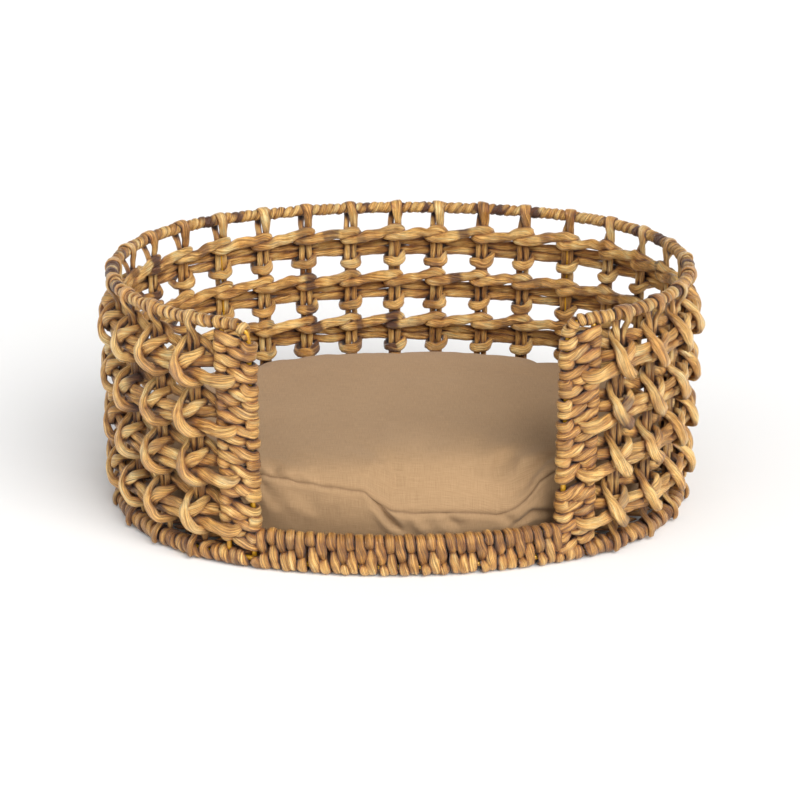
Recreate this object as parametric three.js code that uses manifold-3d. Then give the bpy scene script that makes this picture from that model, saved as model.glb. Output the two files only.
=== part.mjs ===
// Oval wicker pet bed: a lacquered steel rod frame dressed with hyacinth strands, an open
// weave of looped stakes and knotted double rows, and a loose boxed cushion.
// Millimetres, +Z up, standing on Z = 0, with the entrance towards -Y.
import * as THREE from "three";
import { mergeVertices } from "three/addons/utils/BufferGeometryUtils.js";
import Module from "manifold-3d";

const wasm = await Module();
wasm.setup();

// ---- Plan: a four-arc oval, measured to the centre of the rim rod ----
const HALF_LENGTH = 291;
const HALF_WIDTH = 209;
const END_RADIUS = 190;

// ---- Steel frame ----
const ROD = 5;
const UPRIGHT_ROD = 3.4;
const FLOOR_ROD = 4;
const ROD_CLEARANCE = 0.5;
const WELD_GAP = 0.4;
const RIM_HEIGHT = 247;
const BASE_HEIGHT = 9;
const SILL_ROD_HEIGHT = 34.5;
const CORNER_RADIUS = 14;
const FLOOR_ROD_SPACING = 99;

// ---- Entrance, its two posts and the sill ----
const ENTRANCE_WIDTH = 290;
const POST_WIDTH = 38;
const POST_THICKNESS = 14;
const SILL_HEIGHT = 41.5;
const SILL_THICKNESS = 14;
const POST_ROD_INSET = 6;

// ---- Wrapped rods ----
const RIM_WRAP = 12;
const BASE_WRAP = 18;
const WRAP_GAP = 0.8;

// ---- Stakes: one strand folded over the rim, two legs side by side ----
const STAKES_EACH_SIDE = 12;
const STAKE_PITCH = 49.75;
const LEG_WIDTH = 7.2;
const LEG_SPREAD = 3.9;
const LEG_THICKNESS = 4;
const LEG_OFFSET = -3.1;
const ROD_LEG_WIDTH = 5.3;
const ROD_LEG_SPREAD = 4.75;
const STAKES_WITH_RODS = [-9, -4, 4, 9];

// ---- Rows: a doubled weft outside the stakes, and the strand that knots it on ----
const ROW_HEIGHTS = [201, 150, 99.5, 48];
const WEFT_STRAND = 8.4;
const WEFT_SLIT = 0.8;
const WEFT_THICKNESS = 5;
const WEFT_OUTSIDE = 5.6;
const HITCH_STRAND = 4.4;
const HITCH_INSIDE = -8.3;
const HITCH_OUTSIDE = 8.9;

// ---- Floor and cushion ----
const FLOOR_INSET = 11.8;
const FLOOR_BOTTOM = 11.4;
const FLOOR_TOP = 16.4;
const CUSHION_INSET = 13;
const CUSHION_BOTTOM = 16.9;
const CUSHION_SEAM = 80;
const CUSHION_CROWN = 90;
const CLOTH = 1.5;
const ZIP_HALF_LENGTH = 108;
const ZIP_HEIGHT = 50;
const ZIP_SLOT = 10;

// ---- Finishes ----
const finish = (color, roughness, metalness = 0) => () =>
  new THREE.MeshStandardMaterial({ color, roughness, metalness, flatShading: true });
const straw = finish(0xb8935e, 0.75);
const paleStraw = finish(0xc6a26c, 0.72);
const darkStraw = finish(0x9c774a, 0.78);
const lacquer = finish(0xc79a2c, 0.32, 0.5);
const linen = finish(0xa58a69, 0.92);
const paleLinen = finish(0xb79a74, 0.92);
const wadding = finish(0xe9e6df, 0.95);
const zipCloth = finish(0x7d6a52, 0.9);
const zipMetal = finish(0x9a9a98, 0.35, 0.8);

// ---- The oval ----
const endCentre = HALF_LENGTH - END_RADIUS;
const longRadius =
  (endCentre ** 2 + HALF_WIDTH ** 2 - END_RADIUS ** 2) / (2 * (HALF_WIDTH - END_RADIUS));
const longCentre = longRadius - HALF_WIDTH;
const longAngle = Math.atan2(endCentre, longCentre);
const longHalf = longRadius * longAngle;
const endLength = END_RADIUS * (Math.PI - 2 * longAngle);
const PERIMETER = 4 * longHalf + 2 * endLength;

// Where the oval is after a run along it, clockwise from the middle of the back, with the
// direction that faces out of the basket there and the direction of travel.
function ovalAt(run) {
  const wrapped = run - PERIMETER * Math.round(run / PERIMETER);
  const mirror = wrapped < 0 ? -1 : 1;
  const distance = Math.abs(wrapped);
  let turn, centreX = 0, centreY, radius = longRadius;
  if (distance <= longHalf) {
    turn = distance / longRadius;
    centreY = -longCentre;
  } else if (distance <= longHalf + endLength) {
    turn = longAngle + (distance - longHalf) / END_RADIUS;
    centreX = endCentre;
    centreY = 0;
    radius = END_RADIUS;
  } else {
    turn = Math.PI - longAngle + (distance - longHalf - endLength) / longRadius;
    centreY = longCentre;
  }
  const out = new THREE.Vector3(mirror * Math.sin(turn), Math.cos(turn), 0);
  const point = new THREE.Vector3(
    mirror * (centreX + radius * Math.sin(turn)), centreY + radius * Math.cos(turn), 0);
  return { point, out, along: new THREE.Vector3(out.y, -out.x, 0) };
}

// A point of the wall: run along the oval, offset outwards from it, height.
function wallPoint(run, offset, height) {
  const { point, out } = ovalAt(run);
  return point.addScaledVector(out, offset).setZ(height);
}

// Shared positions along the wall, one at each stake, so that pieces that lie side by side
// bend together.
function wallRuns(from, to) {
  const runs = [from];
  for (let i = Math.ceil((from + 2) / STAKE_PITCH); i * STAKE_PITCH < to - 2; i++)
    runs.push(i * STAKE_PITCH);
  return [...runs, to];
}

// ---- Sweeps ----
// A path through given stations. Its cross-section's second axis follows a given direction.
class StationPath extends THREE.Curve {
  constructor(stations, guides) {
    super();
    this.stations = stations;
    this.guides = guides;
  }

  getPoint(t, target = new THREE.Vector3()) {
    return target.copy(this.stations[Math.round(t * (this.stations.length - 1))]);
  }

  getSpacedPoints() {
    return this.stations.map((p) => p.clone());
  }

  computeFrenetFrames() {
    const last = this.stations.length - 1;
    const tangents = [], normals = [], binormals = [];
    this.stations.forEach((p, i) => {
      const before = this.stations[Math.max(i - 1, 0)];
      const after = this.stations[Math.min(i + 1, last)];
      const incoming = i > 0 ? p.clone().sub(before).normalize() : new THREE.Vector3();
      const outgoing = i < last ? after.clone().sub(p).normalize() : new THREE.Vector3();
      const tangent = incoming.add(outgoing).normalize();
      const binormal = this.guides[i].clone().addScaledVector(tangent, -this.guides[i].dot(tangent));
      binormal.normalize();
      tangents.push(tangent);
      binormals.push(binormal);
      normals.push(binormal.clone().cross(tangent));
    });
    return { tangents, normals, binormals };
  }
}

const UP = new THREE.Vector3(0, 0, 1);
const guideOf = {
  up: () => UP,
  along: (run) => ovalAt(run).along,
  out: (run) => ovalAt(run).out,
};

// Sweeps a section through wall positions [run, offset, height].
function sweepOnWall(section, positions, guide) {
  const stations = positions.map(([run, offset, height]) => wallPoint(run, offset, height));
  const guides = positions.map(([run]) => guideOf[guide](run));
  return new THREE.ExtrudeGeometry(section, {
    steps: stations.length - 1,
    extrudePath: new StationPath(stations, guides),
  });
}

function roundSection(diameter, sides = 6) {
  const shape = new THREE.Shape();
  for (let i = 0; i < sides; i++) {
    const a = ((i + 0.5) / sides) * 2 * Math.PI;
    const move = i ? "lineTo" : "moveTo";
    shape[move]((diameter / 2) * Math.cos(a), (diameter / 2) * Math.sin(a));
  }
  return shape;
}

function barSection(width, height, chamfer = 0) {
  const x = width / 2, y = height / 2, c = chamfer;
  const corners = c
    ? [[x - c, -y], [x, c - y], [x, y - c], [x - c, y], [c - x, y], [-x, y - c], [-x, c - y], [c - x, -y]]
    : [[x, -y], [x, y], [-x, y], [-x, -y]];
  return new THREE.Shape(corners.map(([px, py]) => new THREE.Vector2(px, py)));
}

// A bar that runs level along the wall: thickness outwards, height upwards.
function levelBar(section, from, to, offset, height) {
  return sweepOnWall(section, wallRuns(from, to).map((run) => [run, offset, height]), "up");
}

// ---- Solids ----
function toSolid(geometry) {
  const bare = geometry.clone();
  bare.deleteAttribute("normal");
  bare.deleteAttribute("uv");
  const merged = mergeVertices(bare.index ? bare.toNonIndexed() : bare, 1e-3);
  return new wasm.Manifold(new wasm.Mesh({
    numProp: 3,
    vertProperties: merged.attributes.position.array,
    triVerts: new Uint32Array(merged.index.array),
  }));
}

function carve(geometry, tools) {
  const left = tools.reduce((body, tool) => body.subtract(toSolid(tool)), toSolid(geometry));
  const mesh = left.getMesh();
  const result = new THREE.BufferGeometry();
  result.setAttribute("position", new THREE.BufferAttribute(mesh.vertProperties, 3));
  result.setIndex(new THREE.BufferAttribute(mesh.triVerts, 1));
  result.computeVertexNormals();
  return result;
}

const basket = new THREE.Group();
const frame = new THREE.Group();
const weave = new THREE.Group();
const cushion = new THREE.Group();
basket.add(frame, weave, cushion);

function addPiece(group, name, geometry, material) {
  const mesh = new THREE.Mesh(geometry, material());
  mesh.name = name;
  group.add(mesh);
  return mesh;
}

// ---- Frame rods ----
const frontRun = PERIMETER / 2;
const postInner = frontRun - ENTRANCE_WIDTH / 2;
const postOuter = postInner - POST_WIDTH;
const innerRodRun = postInner - POST_ROD_INSET;
const outerRodRun = postOuter + POST_ROD_INSET;
const rodFoot = BASE_HEIGHT + ROD / 2 + WELD_GAP;
const rodHead = RIM_HEIGHT - ROD / 2 - WELD_GAP;
// Each rod is made twice: as itself, and thicker and longer as the channel it lies in.

// The rim rod climbs the left inner post, turns over, follows the rim and comes down again.
function rimRod(diameter, longer) {
  const bend = [0, 1, 2, 3, 4].map((i) => (i / 4) * (Math.PI / 2));
  const bendStart = innerRodRun - CORNER_RADIUS;
  const corner = bend.map((a) => [
    bendStart + CORNER_RADIUS * Math.cos(a), 0, RIM_HEIGHT - CORNER_RADIUS * (1 - Math.sin(a))]);
  const left = [[innerRodRun, 0, rodFoot - longer], ...corner];
  const level = wallRuns(-bendStart, bendStart).slice(1, -1).map((run) => [run, 0, RIM_HEIGHT]);
  const mirrored = left.map(([run, offset, height]) => [-run, offset, height]);
  return sweepOnWall(roundSection(diameter), [...mirrored, ...level, ...left.reverse()], "out");
}

// The hoop's ends meet at the left end of the sill.
const baseHoop = (diameter) => {
  const start = -postInner - WRAP_GAP / 2 + WELD_GAP / 2;
  return levelBar(roundSection(diameter), start, start + PERIMETER - WELD_GAP, 0, BASE_HEIGHT);
};

const sillRod = (diameter, longer) => {
  const start = innerRodRun + ROD / 2 + WELD_GAP - longer;
  return levelBar(roundSection(diameter), start, PERIMETER - start, 0, SILL_ROD_HEIGHT);
};

const standingRod = (diameter, longer, run, offset) =>
  sweepOnWall(roundSection(diameter),
    [[run, offset, rodFoot - longer], [run, offset, rodHead + longer]], "along");

function floorRod(diameter, longer, x) {
  let run = Math.abs(x);
  for (let i = 0; i < 8; i++) run += Math.abs(x) - Math.abs(ovalAt(run).point.x);
  const reach = ovalAt(run).point.y - ROD / 2 - 2.3 * WELD_GAP + longer;
  const rod = new THREE.CylinderGeometry(diameter / 2, diameter / 2, 2 * reach, 6);
  return rod.translate(x, 0, BASE_HEIGHT);
}

const rods = [["rim_rod", rimRod, ROD], ["base_hoop_rod", baseHoop, ROD], ["sill_rod", sillRod, ROD]];
for (const [side, sign] of [["left", -1], ["right", 1]])
  rods.push([`outer_post_rod_${side}`, (d, l) => standingRod(d, l, sign * outerRodRun, 0), ROD]);
STAKES_WITH_RODS.forEach((stake, i) => rods.push([
  `upright_rod_${i + 1}`, (d, l) => standingRod(d, l, stake * STAKE_PITCH, LEG_OFFSET), UPRIGHT_ROD]));
for (const [side, step] of [["left", -1], ["middle", 0], ["right", 1]])
  rods.push([`floor_rod_${side}`, (d, l) => floorRod(d, l, step * FLOOR_ROD_SPACING), FLOOR_ROD]);

for (const [name, make, diameter] of rods) addPiece(frame, name, make(diameter, 0), lacquer);
const rodChannels = rods.map(([, make, diameter]) => make(diameter + 2 * ROD_CLEARANCE, WELD_GAP));

// ---- Strands wrapped round the rods ----
const rimEnd = innerRodRun - CORNER_RADIUS - 0.5;
const rimWrap = levelBar(roundSection(RIM_WRAP, 8), -rimEnd, rimEnd, 0, RIM_HEIGHT);
addPiece(weave, "rim_wrap", carve(rimWrap, rodChannels), darkStraw);

const baseWrap = levelBar(barSection(BASE_WRAP, BASE_WRAP, 5), -postInner, postInner, 0, BASE_WRAP / 2);
addPiece(weave, "base_wrap", carve(baseWrap, rodChannels), straw);

const sillWrap = levelBar(barSection(SILL_THICKNESS, SILL_HEIGHT, 4),
  postInner + WRAP_GAP, PERIMETER - postInner - WRAP_GAP, 0, SILL_HEIGHT / 2);
addPiece(weave, "sill_wrap", carve(sillWrap, rodChannels), paleStraw);

for (const [side, sign] of [["left", -1], ["right", 1]]) {
  const middle = (sign * (postInner + postOuter)) / 2;
  const top = RIM_HEIGHT - RIM_WRAP / 2 - 0.5;
  const post = sweepOnWall(barSection(POST_THICKNESS, POST_WIDTH, 4),
    [[middle, 0, BASE_WRAP + 0.5], [middle, 0, top]], "along");
  addPiece(weave, `post_wrap_${side}`, carve(post, rodChannels), paleStraw);
}

// ---- Stakes ----
// Up the inside, over the rim, out and under it, and down beside itself; the first leg's
// foot is taken outwards over the base wrap.
function stake(run, legWidth, spread) {
  const loop = RIM_WRAP / 2 + LEG_THICKNESS / 2 + 2.2;
  const foot = BASE_WRAP / 2 + LEG_THICKNESS / 2 + 1.2;
  const footTop = BASE_WRAP + LEG_THICKNESS / 2 + 1;
  const overRim = [[180, 1], [135, 0.75], [90, 0.35], [45, -0.1], [0, -0.55], [-50, -0.9]];
  const positions = [
    [spread, foot, 3],
    [spread, foot, footTop - 6],
    [spread, foot - 4, footTop],
    [spread, 1.5, footTop + 1.5],
    [spread, LEG_OFFSET, footTop + 9],
    [spread, LEG_OFFSET, RIM_HEIGHT - 16],
    ...overRim.map(([angle, side]) => {
      const a = THREE.MathUtils.degToRad(angle);
      return [side * spread, loop * Math.cos(a), RIM_HEIGHT + loop * Math.sin(a)];
    }),
    [-spread, 0, RIM_HEIGHT - loop - 2.5],
    [-spread, LEG_OFFSET, RIM_HEIGHT - loop - 9],
    [-spread, LEG_OFFSET, BASE_WRAP + 0.6],
  ];
  const onWall = positions.map(([side, offset, height]) => [run + side, offset, height]);
  return sweepOnWall(barSection(LEG_THICKNESS, legWidth), onWall, "along");
}

for (let i = -STAKES_EACH_SIDE; i <= STAKES_EACH_SIDE; i++) {
  const number = String(i + STAKES_EACH_SIDE + 1).padStart(2, "0");
  const holdsRod = STAKES_WITH_RODS.includes(i);
  const shape = holdsRod ? [ROD_LEG_WIDTH, ROD_LEG_SPREAD] : [LEG_WIDTH, LEG_SPREAD];
  addPiece(weave, `stake_${number}`, stake(i * STAKE_PITCH, ...shape), i % 2 ? straw : paleStraw);
}

// ---- Weft rows: one strand taken out and back, its ends butted in the middle of the back ----
function weftRow(height) {
  const turn = (WEFT_STRAND + WEFT_SLIT) / 2;
  const turnStart = postOuter - 0.8 - turn - WEFT_STRAND / 2;
  const offset = WEFT_OUTSIDE - WEFT_THICKNESS / 2;
  const arc = [-60, -20, 20, 60].map((degrees) => {
    const a = THREE.MathUtils.degToRad(degrees);
    return [turnStart + turn * Math.cos(a), offset, height + turn * Math.sin(a)];
  });
  const level = (from, to, side) => wallRuns(from, to).map((run) => [run, offset, height + side * turn]);
  const mirrored = (positions) => positions.map(([run, n, h]) => [-run, n, h]).reverse();
  const out = level(WELD_GAP / 2, turnStart, -1);
  const positions = [...out, ...arc, ...level(-turnStart, turnStart, 1).reverse(),
    ...mirrored(arc), ...mirrored(out)];
  return sweepOnWall(barSection(WEFT_STRAND, WEFT_THICKNESS), positions, "out");
}

// ---- Hitch rows: across the stake above the row, out, down over the weft, in below it,
// back across the stake and on to the next one ----
function hitchRow(height) {
  const knot = [
    [-10, HITCH_INSIDE, 12],
    [11.5, HITCH_INSIDE, 14],
    [11.5, HITCH_OUTSIDE, 12.5],
    [-11.5, HITCH_OUTSIDE, -12.5],
    [-11.5, HITCH_INSIDE, -14],
    [10, HITCH_INSIDE, -13],
  ];
  const positions = [];
  for (let i = -STAKES_EACH_SIDE; i <= STAKES_EACH_SIDE; i++)
    for (const [run, offset, rise] of knot) positions.push([i * STAKE_PITCH + run, offset, height + rise]);
  return sweepOnWall(barSection(HITCH_STRAND, HITCH_STRAND), positions, "up");
}

ROW_HEIGHTS.forEach((height, i) => {
  addPiece(weave, `weft_row_${i + 1}`, weftRow(height), straw);
  addPiece(weave, `hitch_row_${i + 1}`, hitchRow(height), paleStraw);
});

// ---- Floor mat and cushion ----
function ovalOutline(inset, count = 64) {
  return Array.from({ length: count }, (_, i) => {
    const p = wallPoint((-i / count) * PERIMETER, -inset, 0);
    return new THREE.Vector2(p.x, p.y);
  });
}

function ovalPlate(inset, bottom, top) {
  const shape = new THREE.Shape(ovalOutline(inset));
  return new THREE.ExtrudeGeometry(shape, { depth: top - bottom, bevelEnabled: false })
    .translate(0, 0, bottom);
}

// A crowned form: a profile of [share of the way out, height], turned round the oval.
function ovalDome(inset, profile, segments = 48) {
  const points = profile.map(([share, height]) => new THREE.Vector2(share, height));
  const dome = new THREE.LatheGeometry(points, segments);
  const position = dome.getAttribute("position");
  for (let i = 0; i < position.count; i++) {
    const share = Math.hypot(position.getX(i), position.getZ(i));
    const turn = Math.atan2(position.getX(i), position.getZ(i));
    const edge = wallPoint((Math.round((turn / (2 * Math.PI)) * segments) / segments) * PERIMETER, -inset, 0);
    position.setXYZ(i, edge.x * share, edge.y * share, position.getY(i));
  }
  dome.computeVertexNormals();
  return dome;
}

addPiece(weave, "floor_mat", ovalPlate(FLOOR_INSET, FLOOR_BOTTOM, FLOOR_TOP), darkStraw);

const bottomTop = CUSHION_BOTTOM + CLOTH;
addPiece(cushion, "cushion_bottom_panel", ovalPlate(CUSHION_INSET, CUSHION_BOTTOM, bottomTop), linen);

const bandShape = new THREE.Shape(ovalOutline(CUSHION_INSET));
bandShape.holes.push(new THREE.Path(ovalOutline(CUSHION_INSET + CLOTH)));
const bandHeight = CUSHION_SEAM - bottomTop - 0.8;
const band = new THREE.ExtrudeGeometry(bandShape, { depth: bandHeight, bevelEnabled: false });
band.translate(0, 0, bottomTop + 0.4);
const zipSlot = levelBar(barSection(8, ZIP_SLOT), -ZIP_HALF_LENGTH, ZIP_HALF_LENGTH,
  -CUSHION_INSET, ZIP_HEIGHT);
addPiece(cushion, "cushion_side_band", carve(band, [zipSlot]), paleLinen);

const rise = CUSHION_CROWN - CUSHION_SEAM;
const crown = [[0, 1], [0.45, 0.92], [0.8, 0.62], [1, 0.15]];
const upper = crown.map(([share, lift]) => [share, CUSHION_SEAM + rise * lift]);
const lower = upper.map(([share, height]) => [share, height - CLOTH]).reverse();
addPiece(cushion, "cushion_top_panel", ovalDome(CUSHION_INSET, [...upper, ...lower]), linen);

const fillingTop = crown.map(([share, lift]) => [share, CUSHION_SEAM - 2.5 + rise * lift]);
const fillingProfile = [...fillingTop, [1, bottomTop + 0.5], [0, bottomTop + 0.5]];
addPiece(cushion, "cushion_filling", ovalDome(CUSHION_INSET + 5, fillingProfile), wadding);

const tape = levelBar(barSection(1.2, ZIP_SLOT + 4), -ZIP_HALF_LENGTH + 1, ZIP_HALF_LENGTH - 1,
  -CUSHION_INSET - CLOTH - 1.6, ZIP_HEIGHT);
addPiece(cushion, "zip_tape", tape, zipCloth);

const slider = levelBar(barSection(2, ZIP_SLOT - 1.2, 0.5), -ZIP_HALF_LENGTH + 4,
  -ZIP_HALF_LENGTH + 12, -CUSHION_INSET - 0.4, ZIP_HEIGHT);
addPiece(cushion, "zip_slider", slider, zipMetal);

// The origin lies under the middle of the whole basket.
const extent = new THREE.Box3().setFromObject(basket);
basket.position.y = -(extent.min.y + extent.max.y) / 2;

export default basket;
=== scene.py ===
"""Looks of the oval wicker pet bed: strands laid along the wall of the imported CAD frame."""

import math

import bpy
import numpy as np
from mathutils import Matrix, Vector


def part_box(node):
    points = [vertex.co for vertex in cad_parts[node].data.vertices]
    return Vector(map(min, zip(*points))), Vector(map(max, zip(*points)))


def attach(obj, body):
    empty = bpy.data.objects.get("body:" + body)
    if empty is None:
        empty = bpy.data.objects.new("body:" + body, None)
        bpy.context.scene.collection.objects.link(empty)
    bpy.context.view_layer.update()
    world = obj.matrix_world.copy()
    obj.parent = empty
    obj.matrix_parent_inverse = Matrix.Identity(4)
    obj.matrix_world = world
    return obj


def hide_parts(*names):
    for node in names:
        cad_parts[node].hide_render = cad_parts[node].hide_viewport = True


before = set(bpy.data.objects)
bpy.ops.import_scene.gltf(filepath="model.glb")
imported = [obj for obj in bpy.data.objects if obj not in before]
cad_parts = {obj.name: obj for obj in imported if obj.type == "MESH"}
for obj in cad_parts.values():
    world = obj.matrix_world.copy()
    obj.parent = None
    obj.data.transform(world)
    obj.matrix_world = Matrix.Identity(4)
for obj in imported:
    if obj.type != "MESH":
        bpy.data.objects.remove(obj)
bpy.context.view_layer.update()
scene = bpy.context.scene

# ---------------------------------------------------------------- plan, in millimetres
HALF_LENGTH, HALF_WIDTH, END_RADIUS = 291.0, 209.0, 190.0
RIM_HEIGHT, BASE_HEIGHT, SILL_ROD_HEIGHT = 247.0, 9.0, 34.5
ENTRANCE, POST_WIDTH, POST_ROD_INSET, CORNER = 290.0, 38.0, 6.0, 14.0
STAKE_PITCH, STAKES_SIDE = 49.75, 12
STAKES = range(-STAKES_SIDE, STAKES_SIDE + 1)
ROWS = (201.0, 150.0, 99.5, 48.0)
ROD, UPRIGHT_ROD = 5.0, 3.4

_low, _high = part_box("cushion_bottom_panel")
SHIFT_Y = (_low.y + _high.y) / 2 * 1000

end_centre = HALF_LENGTH - END_RADIUS
LONG_RADIUS = (end_centre**2 + HALF_WIDTH**2 - END_RADIUS**2) / (2 * (HALF_WIDTH - END_RADIUS))
LONG_CENTRE = LONG_RADIUS - HALF_WIDTH
LONG_ANGLE = math.atan2(end_centre, LONG_CENTRE)
LONG_HALF = LONG_RADIUS * LONG_ANGLE
END_LENGTH = END_RADIUS * (math.pi - 2 * LONG_ANGLE)
PERIMETER = 4 * LONG_HALF + 2 * END_LENGTH
FRONT = PERIMETER / 2
POST_INNER = FRONT - ENTRANCE / 2
POST_OUTER = POST_INNER - POST_WIDTH
INNER_ROD = POST_INNER - POST_ROD_INSET
OUTER_ROD = POST_OUTER + POST_ROD_INSET


def oval(run):
    """Points of the oval and the directions out of it, for runs measured clockwise from the back."""
    run = np.asarray(run, float)
    wrapped = run - PERIMETER * np.round(run / PERIMETER)
    mirror = np.where(wrapped < 0, -1.0, 1.0)
    far = np.abs(wrapped)
    turn = np.where(
        far <= LONG_HALF, far / LONG_RADIUS,
        np.where(far <= LONG_HALF + END_LENGTH, LONG_ANGLE + (far - LONG_HALF) / END_RADIUS,
                 math.pi - LONG_ANGLE + (far - LONG_HALF - END_LENGTH) / LONG_RADIUS))
    on_end = (far > LONG_HALF) & (far <= LONG_HALF + END_LENGTH)
    radius = np.where(on_end, END_RADIUS, LONG_RADIUS)
    cx = np.where(on_end, end_centre, 0.0)
    cy = np.where(on_end, 0.0, np.where(far <= LONG_HALF, -LONG_CENTRE, LONG_CENTRE))
    out = np.stack([mirror * np.sin(turn), np.cos(turn)], -1)
    point = np.stack([mirror * (cx + radius * np.sin(turn)), cy + radius * np.cos(turn)], -1)
    return point, out


def on_wall(places):
    """Wall places (run, offset, height) to points of the row frame, in millimetres."""
    places = np.asarray(places, float)
    point, out = oval(places[..., 0])
    xy = point + out * places[..., 1:2]
    return np.stack([xy[..., 0], xy[..., 1] + SHIFT_Y, places[..., 2]], -1)


def wall_vectors(run, vectors):
    """Directions given as (along, out, up) to directions of the row frame."""
    _, out = oval(run)
    along = np.stack([out[..., 1], -out[..., 0]], -1)
    xy = along * vectors[..., 0:1] + out * vectors[..., 1:2]
    return np.stack([xy[..., 0], xy[..., 1], vectors[..., 2]], -1)


# ---------------------------------------------------------------- meshes and objects
def add_object(name, data):
    """A new object in the scene."""
    thing = bpy.data.objects.new(name, data)
    scene.collection.objects.link(thing)
    return thing


def shade_smooth(mesh):
    mesh.polygons.foreach_set("use_smooth", np.ones(len(mesh.polygons), bool))


def put(mesh, label, values, kind="FLOAT", key="value"):
    """Keeps values at the vertices under a name that materials can read."""
    layer = mesh.attributes.new(label, kind, "POINT")
    layer.data.foreach_set(key, np.asarray(values, np.float32).ravel())


def read(data, key):
    """Vectors of mesh data, one row for each vertex."""
    values = np.empty(len(data) * 3, np.float32)
    data.foreach_get(key, values)
    return values.reshape(-1, 3).astype(float)


# ---------------------------------------------------------------- strands
def wander(rng, t, wave):
    """A smooth random value along a strand, mostly between -1 and 1."""
    total = np.zeros_like(t)
    for octave, weight in ((1.0, 0.62), (1.9, 0.36), (3.7, 0.2)):
        total += weight * np.sin(2 * math.pi * t * octave / wave * rng.uniform(0.8, 1.25)
                                 + rng.uniform(0, 2 * math.pi))
    return total


def smooth(controls, step):
    """Cubic path through rows of control values; the first three columns are the place."""
    controls = np.asarray(controls, float)
    gaps = np.linalg.norm(np.diff(controls[:, :3], axis=0), axis=1) + 1e-6
    t = np.concatenate([[0], np.cumsum(gaps)])
    slope = np.diff(controls, axis=0) / gaps[:, None]
    tangent = np.empty_like(controls)
    tangent[0], tangent[-1] = slope[0], slope[-1]
    h0, h1 = gaps[:-1, None], gaps[1:, None]
    tangent[1:-1] = (slope[:-1] * h1 + slope[1:] * h0) / (h0 + h1)
    count = max(3, int(round(t[-1] / step)) + 1)
    s = np.linspace(0, t[-1], count)
    k = np.clip(np.searchsorted(t, s, side="right") - 1, 0, len(gaps) - 1)
    h = gaps[k][:, None]
    u = ((s - t[k]) / gaps[k])[:, None]
    p0, p1, m0, m1 = controls[k], controls[k + 1], tangent[k] * h, tangent[k + 1] * h
    return ((2 * u**3 - 3 * u**2 + 1) * p0 + (u**3 - 2 * u**2 + u) * m0
            + (-2 * u**3 + 3 * u**2) * p1 + (u**3 - u**2) * m1), s


def unit(v):
    """Rows of v at length one."""
    return v / np.maximum(np.linalg.norm(v, axis=-1, keepdims=True), 1e-9)


EVEN = {"rough": 0.0, "lobes": 0.0}


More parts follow.
